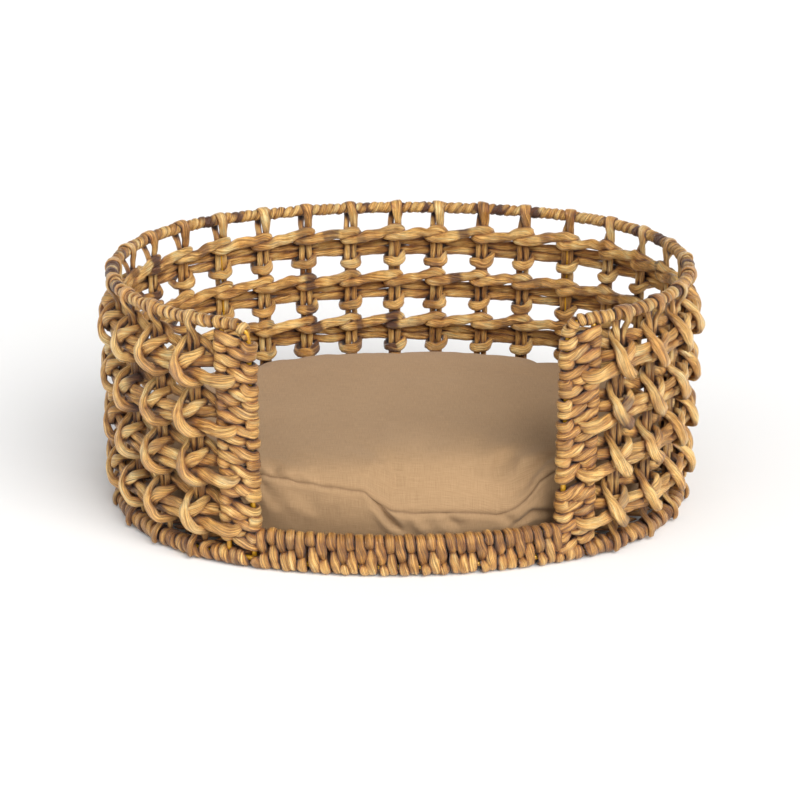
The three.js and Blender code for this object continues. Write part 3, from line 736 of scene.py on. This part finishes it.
def build_rods():
    def rod(made, node, rows, diameter=ROD, flat=False):
        bundle = Bundle(900)
        bundle.strand([[*r, 1.0] for r in rows], diameter, diameter, step=6.0, ring=16, flat=flat, **EVEN)
        place(bundle.build(f"{made}_{node}", lacquer), "basket", "lacquered_rod", node)

    start = INNER_ROD - CORNER
    foot, head = BASE_HEIGHT + 2.9, RIM_HEIGHT - 2.9
    bend = [(start + CORNER * math.sin(a), 0, RIM_HEIGHT - CORNER * (1 - math.cos(a)), *OUT)
            for a in np.radians([0, 22.5, 45, 67.5, 90])]
    down = [(INNER_ROD, 0, h, *OUT) for h in (200, 140, 80, foot)]
    right = bend + down
    left = [(-r[0], *r[1:]) for r in right][::-1]
    level = [(s, 0, RIM_HEIGHT, *OUT) for s in np.linspace(-start, start, 121)[1:-1]]
    rod("bent", "rim_rod", left + level + right)
    hoop = [(s, 0, BASE_HEIGHT, *OUT)
            for s in np.linspace(-POST_INNER - 0.2, PERIMETER - POST_INNER - 0.6, 160)]
    rod("round", "base_hoop_rod", hoop)
    sill = [(s, 0, SILL_ROD_HEIGHT, *OUT)
            for s in np.linspace(INNER_ROD + 2.9, PERIMETER - INNER_ROD - 2.9, 40)]
    rod("round", "sill_rod", sill)
    for side, sign in (("left", -1), ("right", 1)):
        post = [(sign * OUTER_ROD, 0, h, *OUT) for h in (foot, 80, 160, head)]
        rod("round", f"outer_post_rod_{side}", post)
    for index, i in enumerate((-9, -4, 4, 9)):
        upright = [(i * STAKE_PITCH, -3.1, h, *OUT) for h in (foot, 80, 160, head)]
        rod("round", f"upright_rod_{index + 1}", upright, UPRIGHT_ROD)
    for side in ("left", "middle", "right"):
        low, high = (corner * 1000 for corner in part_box(f"floor_rod_{side}"))
        x, z = (low.x + high.x) / 2, (low.z + high.z) / 2
        rows = [(x, y, z, *UP) for y in np.linspace(low.y, high.y, 5)]
        rod("round", f"floor_rod_{side}", rows, high.z - low.z, flat=True)


build_rods()
for i in STAKES:
    build_stake(i)
for row, height in enumerate(ROWS):
    build_weft(row, height)
    build_hitch(row, height)
build_wraps()
build_posts_and_sill()
build_floor_mat()
finish_weave()

# ---------------------------------------------------------------- cushion
INSET, COVER_BACK, CUSHION_FOOT, CROWN = 14.6, 4.5, 17.4, 97.0
BAND_CLOTH = 66  # height of the band's cloth before it is sewn in
# Above the first height the top is eased towards a limit that much higher, inside the cushion's space.
EASE_FROM, EASE_DEPTH = 86.0, 14.0
# The upper seam dips towards the front middle, where the cushion is lain in: heights by place along.
SEAM_X = (-400, -190, -142, -109, -70, -44, -31, -16, 5, 29, 55, 75, 89, 100, 110, 118, 126, 135, 149,
          190, 400)
SEAM_Z = (80, 82, 82.5, 77.5, 73, 69.5, 61, 53, 49, 47.5, 45.5, 43.5, 43, 45, 49, 54, 60, 70, 77, 81, 80)
ZIP_HEIGHT, ZIP_HALF = 50.0, 108.0
# Frames and pressure of the cloth simulation, and how far, in metres, it may move the cover.
PUFF_FRAMES, PUFF_PRESSURE, PUFF_LIMIT = 20, 4.0, 0.012


def wall_offset(xy):
    """How far out from the oval points lie, for x and y in millimetres about its centre."""
    x, y = np.abs(xy[:, 0]), np.abs(xy[:, 1])
    end = np.hypot(x - end_centre, y)
    angle = np.arctan2(x - end_centre, y)
    long = np.hypot(x, y + LONG_CENTRE)
    return np.where(angle > LONG_ANGLE, end - END_RADIUS, long - LONG_RADIUS)


def seam_height(x, y):
    front = np.clip(-y / 60, 0, 1)
    back = np.clip((y + 40) / 200, 0, 1)
    return np.interp(x, SEAM_X, SEAM_Z) * front + (80 - 3 * back) * (1 - front)


def cushion_mesh():
    """Closed cover: square grids mapped to the oval for top and bottom, rows between them for the band."""
    half = 40
    sides = 8 * half
    run = np.arange(sides) / sides * PERIMETER
    around, out = oval(run)

    def ring_offset(level):
        return around - out * (INSET + COVER_BACK - 2.5 * math.sin(math.pi * level))

    verts, faces, uvs = [], [], []
    ring_ids = []
    levels = [0, 0.03, 0.09] + list(np.linspace(0.17, 0.86, 9)) + [0.93, 0.975, 1.0]
    edge = ring_offset(1.0)
    seam_z = seam_height(edge[:, 0], edge[:, 1])
    for level in levels:
        ring = ring_offset(level)
        z = CUSHION_FOOT + (seam_z - CUSHION_FOOT) * level
        ring_ids.append(len(verts) + np.arange(sides))
        verts += [(*ring[i], z[i]) for i in range(sides)]
    for a, b, low, high in zip(ring_ids, ring_ids[1:], levels, levels[1:]):
        for i in range(sides):
            j = (i + 1) % sides
            faces.append((a[i], b[i], b[j], a[j]))
            u0, u1 = run[i], run[i] + PERIMETER / sides
            v0, v1 = low * BAND_CLOTH, high * BAND_CLOTH
            uvs += [(u0, v0), (u0, v1), (u1, v1), (u1, v0)]

    def cap(edge_ids, is_top):
        """Square grid bent to the oval: gi and gj count from the middle, ring is how far out they are."""
        ids = {}
        shares = 1 - np.interp(np.arange(half + 1), [0, 1, 2, 3, 4, half],
                               [0, 0.008, 0.022, 0.042, 0.067, 1])
        for gi in range(-half, half + 1):
            for gj in range(-half, half + 1):
                ring = max(abs(gi), abs(gj))
                if ring == 0:
                    place_on = 0.0
                elif abs(gi) >= abs(gj):
                    place_on = gj / gi * half if gi > 0 else 4 * half + gj / gi * half
                else:
                    place_on = 2 * half - gi / gj * half if gj > 0 else 6 * half - gi / gj * half
                # Counter-clockwise square places to clockwise runs.
                k = (2 * half - place_on) % sides
                if ring == half:
                    ids[gi, gj] = edge_ids[int(round(k)) % sides]
                    continue
                r = shares[half - ring]
                k0, part = int(math.floor(k)) % sides, k - math.floor(k)
                rim = edge[k0] * (1 - part) + edge[(k0 + 1) % sides] * part
                rim_z = seam_z[k0] * (1 - part) + seam_z[(k0 + 1) % sides] * part
                x, y = rim * r
                z = CUSHION_FOOT
                if is_top:
                    z = rim_z + (CROWN - rim_z) * (1 - r ** 3.0)
                ids[gi, gj] = len(verts)
                verts.append((x, y, z))
        for gi in range(-half, half):
            for gj in range(-half, half):
                quad = [ids[gi, gj], ids[gi + 1, gj], ids[gi + 1, gj + 1], ids[gi, gj + 1]]
                quad = quad if is_top else quad[::-1]
                faces.append(tuple(quad))
                uvs.extend((verts[v][0], verts[v][1]) for v in quad)

    cap(ring_ids[-1], True)
    cap(ring_ids[0], False)
    mesh = bpy.data.meshes.new("cushion_cover")
    mesh.from_pydata([(x * 0.001, (y + SHIFT_Y) * 0.001, z * 0.001) for x, y, z in verts], [],
                     [tuple(int(v) for v in f) for f in faces])
    put(mesh, "rest", verts, "FLOAT_VECTOR", "vector")
    cloth = mesh.uv_layers.new(name="cloth")
    cloth.data.foreach_set("uv", np.array(uvs, np.float32).ravel())
    return mesh


def bake_modifiers(piece):
    depsgraph = bpy.context.evaluated_depsgraph_get()
    baked = bpy.data.meshes.new_from_object(piece.evaluated_get(depsgraph), preserve_all_data_layers=True,
                                            depsgraph=depsgraph)
    piece.modifiers.clear()
    piece.data = baked
    return baked


def inflate(piece):
    """Puffs the cover up as cloth round its filling, then limits how far it went."""
    before = read(piece.data.vertices, "co")
    cloth = piece.modifiers.new("puff", "CLOTH")
    settings = cloth.settings
    settings.quality = 5
    settings.mass = 0.25
    settings.effector_weights.gravity = 0.0
    settings.use_pressure = True
    settings.uniform_pressure_force = PUFF_PRESSURE
    settings.tension_stiffness = settings.compression_stiffness = 18
    settings.shear_stiffness = 6
    settings.bending_stiffness = 0.35
    settings.shrink_min = -0.012
    cloth.point_cache.frame_start, cloth.point_cache.frame_end = 1, PUFF_FRAMES + 2
    for step in range(1, PUFF_FRAMES + 1):
        scene.frame_set(step)
    mesh = bake_modifiers(piece)
    scene.frame_set(1)
    move = read(mesh.vertices, "co") - before
    length = np.linalg.norm(move, axis=1, keepdims=True)
    move *= np.minimum(1, PUFF_LIMIT / np.maximum(length, 1e-9))
    mesh.vertices.foreach_set("co", (before + move).astype(np.float32).ravel())
    mesh.update()


def fold(points, centre_line, width, depth):
    """Height change of a soft fold along a line of points in the plane."""
    best = np.full(len(points), 1e9)
    along = np.zeros(len(points))
    line = np.asarray(centre_line, float)
    lengths = np.linalg.norm(np.diff(line, axis=0), axis=1)
    total, done = lengths.sum(), 0.0
    for a, b, size in zip(line, line[1:], lengths):
        t = np.clip(((points - a) @ (b - a)) / size**2, 0, 1)
        d = np.linalg.norm(points - (a + t[:, None] * (b - a)), axis=1)
        closer = d < best
        best = np.where(closer, d, best)
        along = np.where(closer, (done + t * size) / total, along)
        done += size
    fade = np.sin(np.pi * np.clip(along, 0.02, 0.98)) ** 0.6
    ridge = np.exp(-(best / width) ** 2) - 0.45 * np.exp(-((best - 2.1 * width) / (1.4 * width)) ** 2)
    return depth * fade * ridge


def dress(piece):
    """Seams, puckers and folds on the puffed cover, and painted shade along the seams."""
    mesh = piece.data
    co = read(mesh.vertices, "co") * 1000
    rest = read(mesh.attributes["rest"].data, "vector")
    normal = read(mesh.vertices, "normal")
    inside = -wall_offset(rest[:, :2]) - INSET - COVER_BACK
    seam_z = seam_height(rest[:, 0], rest[:, 1])
    is_top = rest[:, 2] > seam_z - 0.4
    is_foot = (rest[:, 2] < CUSHION_FOOT + 0.2) & ~is_top
    band = seam_z - rest[:, 2]
    top_gap = np.where(is_top & (inside > -1), np.maximum(inside, 0), np.abs(band))
    foot_gap = np.where(is_foot, np.maximum(inside, 0), np.abs(rest[:, 2] - CUSHION_FOOT))
    angle = np.arctan2(rest[:, 0] / HALF_LENGTH, rest[:, 1] / HALF_WIDTH) * PERIMETER / (2 * math.pi)
    rng = np.random.default_rng(77)

    def ripple(waves, low, high):
        total = np.zeros(len(angle))
        for _ in range(waves):
            k = int(PERIMETER / rng.uniform(low, high))
            total += np.sin(2 * math.pi * k * angle / PERIMETER + rng.uniform(0, 6.3)) * rng.uniform(0.4, 1)
        return total / math.sqrt(waves)

    puckers, slow = ripple(5, 9, 22), ripple(5, 35, 120)
    push = -1.5 * np.exp(-(top_gap / 1.9) ** 2) + 0.8 * np.exp(-((top_gap - 6) / 3.5) ** 2)
    push += 0.34 * puckers * np.exp(-top_gap / 9) * (top_gap > 0.4)
    push += -1.2 * np.exp(-(foot_gap / 1.9) ** 2) + 0.2 * puckers * np.exp(-foot_gap / 8)
    push += 0.35 * slow * np.exp(-((band - 30) / 26) ** 2) * ~is_top
    xy = rest[:, :2]
    on_top = np.where(is_top, 1.0, 0.0)
    for line, width, depth in (
            ([(170, -118), (156, -134), (132, -156), (112, -166), (92, -170)], 6.5, -5.0),
            ([(120, -120), (98, -140), (74, -150)], 9, -3.2),
            ([(-20, -150), (-40, -120), (-52, -80)], 11, -2.6),
            ([(-60, -176), (-100, -150), (-150, -118)], 14, -1.6),
            ([(20, -128), (30, -96), (28, -60)], 13, -2.2),
            ([(70, -118), (86, -88), (94, -50)], 12, -2.0),
            ([(-190, -40), (-150, 10), (-120, 70)], 18, -1.8),
            ([(180, 20), (150, 60), (100, 90)], 18, -1.8),
            ([(-60, 60), (0, 84), (70, 70)], 20, -1.6)):
        push += on_top * fold(xy, line, width, depth)
    wall = np.stack([rest[:, 0], rest[:, 2]], -1)
    on_front = np.where(~is_top & (rest[:, 1] < 0), 1.0, 0.0)
    for line, width, depth in (
            ([(104, 22), (113, 31), (128, 39), (146, 36), (160, 28)], 3.4, -3.6),
            ([(-36, 62), (-26, 53), (-17, 42), (-8, 30)], 3.6, -6.6),
            ([(2, 48), (8, 38), (14, 27)], 5.4, 3.2),
            ([(34, 50), (40, 40), (52, 30)], 5.0, -3.0),
            ([(88, 45), (100, 38), (108, 28)], 4.5, -2.4)):
        push += on_front * fold(wall, line, width, depth)
    zip_zone = np.exp(-np.clip((np.abs(angle) - 118) / 14, 0, None) ** 2
                      - np.clip((np.abs(rest[:, 2] - ZIP_HEIGHT) - 10) / 6, 0, None) ** 2)
    zip_zone = np.where((rest[:, 1] > 0) & ~is_top & ~is_foot, zip_zone, 0)
    co += normal * (push * (1 - zip_zone))[:, None]
    flat = co[:, :2] - [0, SHIFT_Y]
    offset = wall_offset(flat)
    outward = unit(normal[:, :2] + 1e-6 * flat)
    # Nothing reaches past the cushion's own space, and the band is even where the zip is sewn in.
    excess = np.maximum(offset + INSET, 0)
    flat = flat - unit(flat * [1, 1.9]) * excess[:, None]
    target = (-15.3 - offset) * zip_zone
    flat = flat + outward * target[:, None]
    co[:, :2] = flat + [0, SHIFT_Y]
    over = np.maximum(co[:, 2] - EASE_FROM, 0)
    eased = EASE_FROM + EASE_DEPTH * (1 - np.exp(-over / EASE_DEPTH))
    co[:, 2] = np.where(over > 0, eased, np.maximum(co[:, 2], CUSHION_FOOT - 0.2))
    mesh.vertices.foreach_set("co", (co * 0.001).astype(np.float32).ravel())
    # Painted shade along the seams, where the cover is pinched in.
    seam_shade = np.maximum(np.exp(-(top_gap / 1.3) ** 2), np.exp(-(foot_gap / 1.3) ** 2))
    put(mesh, "seam", seam_shade)
    mesh.update()


def linen_material():
    n = Nodes("khaki_linen")
    cloth = n.add("ShaderNodeUVMap", uv_map="cloth").outputs[0]
    where = n.where()
    warp = n.noise(n.stretch(cloth, (1.5, 0.07, 1)), 1.0, 3.0, 0.6)
    weft = n.noise(n.stretch(cloth, (0.06, 1.4, 1)), 1.0, 3.0, 0.6)
    cloud = n.noise(where, 9.0, 3.0)
    threads = []
    for axis in ("X", "Y"):
        threads.append(n.add("ShaderNodeTexWave", {"Vector": cloth, "Scale": 0.36, "Distortion": 0.6},
                             bands_direction=axis).outputs[1])
    grid = n.times(threads[0], threads[1])
    level = n.plus(n.times(warp, 0.4), n.times(weft, 0.4))
    level = n.plus(level, n.times(cloud, 0.2))
    colour = n.ramp(level, [(0.3, linear(138, 109, 77)), (0.5, linear(160, 129, 94)),
                            (0.7, linear(177, 145, 109))])
    colour = n.mix(n.times(grid, 0.12), colour, linear(188, 162, 130))
    # Painted shade along the seams.
    seam = n.attribute("seam")
    colour = n.mix(n.times(seam, 0.55), colour, linear(96, 70, 48))
    n.colour(colour)
    n.roughness(level, (0.3, 0.8), (0.7, 0.92))
    n.gloss(sheen_weight=0.12, sheen_roughness=0.5, specular_ior_level=0.25)
    height = n.plus(n.times(grid, 0.5), n.times(level, 1.2))
    n.bump(height, 0.5, 0.0006)
    return n.material


def tape_material():
    n = Nodes("zip_tape_weave")
    where = n.where()
    rib = n.add("ShaderNodeTexWave", {"Vector": where, "Scale": 180.0, "Distortion": 1.0},
                bands_direction="X").outputs[1]
    cloud = n.noise(where, 160.0, 3.0)
    level = n.plus(n.times(rib, 0.5), n.times(cloud, 0.5))
    n.colour(n.ramp(level, [(0.2, linear(92, 70, 50)), (0.8, linear(132, 104, 76))]))
    n.roughness(cloud, (0.2, 0.75), (0.8, 0.9))
    n.bump(level, 0.4, 0.0004)
    return n.material


def metal_material():
    n = Nodes("brushed_zip_metal")
    where = n.where()
    scratch = n.noise(n.stretch(where, (40.0, 40.0, 900.0)), 1.0, 3.0)
    n.colour(n.ramp(scratch, [(0.3, linear(150, 146, 138)), (0.7, linear(196, 192, 184))]))
    n.roughness(scratch, (0.3, 0.25), (0.7, 0.42))
    n.gloss(metallic=1.0)
    n.bump(scratch, 0.2, 0.0002)
    return n.material


def build_cushion():
    linen = linen_material()
    mesh = cushion_mesh()
    cover = add_object("cushion_cover", mesh)
    inflate(cover)
    cover.modifiers.new("smooth", "SUBSURF").levels = 1
    bake_modifiers(cover)
    dress(cover)
    cover.data.materials.clear()
    cover.data.materials.append(linen)
    shade_smooth(cover.data)
    place(cover, "cushion", "cushion_cloth", "cushion_bottom_panel", "cushion_side_band",
          "cushion_top_panel", "cushion_filling")


def build_zip():
    tape = Bundle(800)
    runs = np.linspace(-ZIP_HALF + 1.5, ZIP_HALF - 1.5, 30)
    tape.strand([[s, -15.4, ZIP_HEIGHT, *OUT, 1.0] for s in runs], 13.0, 1.1, step=3.0, **EVEN)
    for side in (-1, 1):
        rows = []
        for k, s in enumerate(np.arange(-ZIP_HALF + 5, ZIP_HALF - 5, 0.75)):
            a = k * math.pi / 2
            tooth = side * (1.3 + 1.1 * math.sin(a))
            rows.append([s, -14.7 + 0.45 * math.cos(a), ZIP_HEIGHT + tooth, *OUT, 1.0])
        tape.strand(rows, 0.75, 0.6, step=0.55, ring=12, **EVEN)
    place(tape.build("zip_tape_and_teeth", tape_material()), "cushion", "zip_tape", "zip_tape")

    slider = Bundle(801)
    first = -ZIP_HALF + 4.0
    body = [(along, -13.4, 0, OUT, share) for along, share in ((0, 0.6), (2, 0.9), (5, 1.0), (8, 1.0))]
    bridge = [(1.2, -12.6, 0, OUT, 1.0), (2, -11.7, 0, CCW, 1.0), (4, -11.3, 0, OUT, 1.0),
              (6, -11.7, 0, CW, 1.0), (6.8, -12.6, 0, OUT, 1.0)]
    pull = [(4, -11.9, 1.0, OUT, 0.7), (4.2, -11.9, -2, OUT, 0.8), (4.6, -12.0, -9, OUT, 1.2),
            (4.8, -12.1, -15, OUT, 1.25)]
    for rows, width, thick, step, taper in (
            (body, 8.2, 1.2, 0.8, 0.8), (bridge, 2.2, 0.9, 0.5, 0.0), (pull, 3.8, 1.0, 0.8, 1.2)):
        controls = [[first + along, offset, ZIP_HEIGHT + rise, *face, share]
                    for along, offset, rise, face, share in rows]
        slider.strand(controls, width, thick, step=step, ring=16, **EVEN, taper=taper)
    place(slider.build("zip_slider_and_pull", metal_material()), "zip_slider", "zip_metal", "zip_slider")


build_cushion()
build_zip()

# ---------------------------------------------------------------- camera, light and floor
PITCH, YAW, DISTANCE = math.radians(21.14), math.radians(-2.2), 1.94
camera_data = bpy.data.cameras.new("camera")
camera_data.sensor_width = 36
camera_data.lens = 1865 / 800 * 36
camera_data.shift_x, camera_data.shift_y = -0.0012, -0.0208
camera = add_object("camera", camera_data)
target = Vector((0, SHIFT_Y / 1000, 0.1164))
direction = Vector((math.sin(YAW) * math.cos(PITCH), -math.cos(YAW) * math.cos(PITCH), math.sin(PITCH)))
camera.location = target + direction * DISTANCE
camera.rotation_euler = (-direction).to_track_quat("-Z", "Y").to_euler()
camera_data.clip_end = 120
scene.camera = camera


def sun(name, toward, strength, spread, colour=(1, 1, 1)):
    data = bpy.data.lights.new(name, "SUN")
    data.energy, data.angle, data.color = strength, math.radians(spread), colour
    add_object(name, data).rotation_euler = Vector(toward).to_track_quat("Z", "Y").to_euler()


sun("key", (0.6, -1.0, 0.92), 3.95, 52, (1.0, 0.99, 0.975))
sun("fill", (-0.9, -0.8, 1.2), 0.8, 50)

world = bpy.data.worlds.new("studio")
world.use_nodes = True
background = world.node_tree.nodes["Background"]
background.inputs[0].default_value = (1, 1, 1, 1)
background.inputs[1].default_value = 0.22
scene.world = world
scene.view_settings.view_transform = "Standard"

# A round floor that sweeps up far away, so that low views still end on pale paper.
FLOOR_FLAT, FLOOR_END, SWEEP_HEIGHT, FLOOR_SIDES = 14.0, 40.0, 12.0, 96
floor_reaches = np.linspace(FLOOR_FLAT, FLOOR_END, 14)
floor_points = [(0.0, 0.0, 0.0)]
for reach in floor_reaches:
    rise = SWEEP_HEIGHT * (1 - math.cos((reach - FLOOR_FLAT) / (FLOOR_END - FLOOR_FLAT) * math.pi / 2))
    floor_points += [(reach * math.cos(a), reach * math.sin(a), rise)
                     for a in np.arange(FLOOR_SIDES) / FLOOR_SIDES * 2 * math.pi]
floor_faces = [(0, 1 + k, 1 + (k + 1) % FLOOR_SIDES) for k in range(FLOOR_SIDES)]
for ring in range(len(floor_reaches) - 1):
    first = 1 + ring * FLOOR_SIDES
    for k in range(FLOOR_SIDES):
        after = (k + 1) % FLOOR_SIDES
        floor_faces.append((first + k, first + FLOOR_SIDES + k, first + FLOOR_SIDES + after, first + after))
floor_mesh = bpy.data.meshes.new("studio_floor")
floor_mesh.from_pydata(floor_points, [], floor_faces)
shade_smooth(floor_mesh)
floor = add_object("studio_floor", floor_mesh)
paper = Nodes("studio_paper")
paper.colour(paper.ramp(paper.noise(None, 3.0), [(0.0, (0.86, 0.86, 0.86, 1)), (1.0, (0.9, 0.9, 0.9, 1))]))
paper.gloss(roughness=0.9)
floor_mesh.materials.append(paper.material)
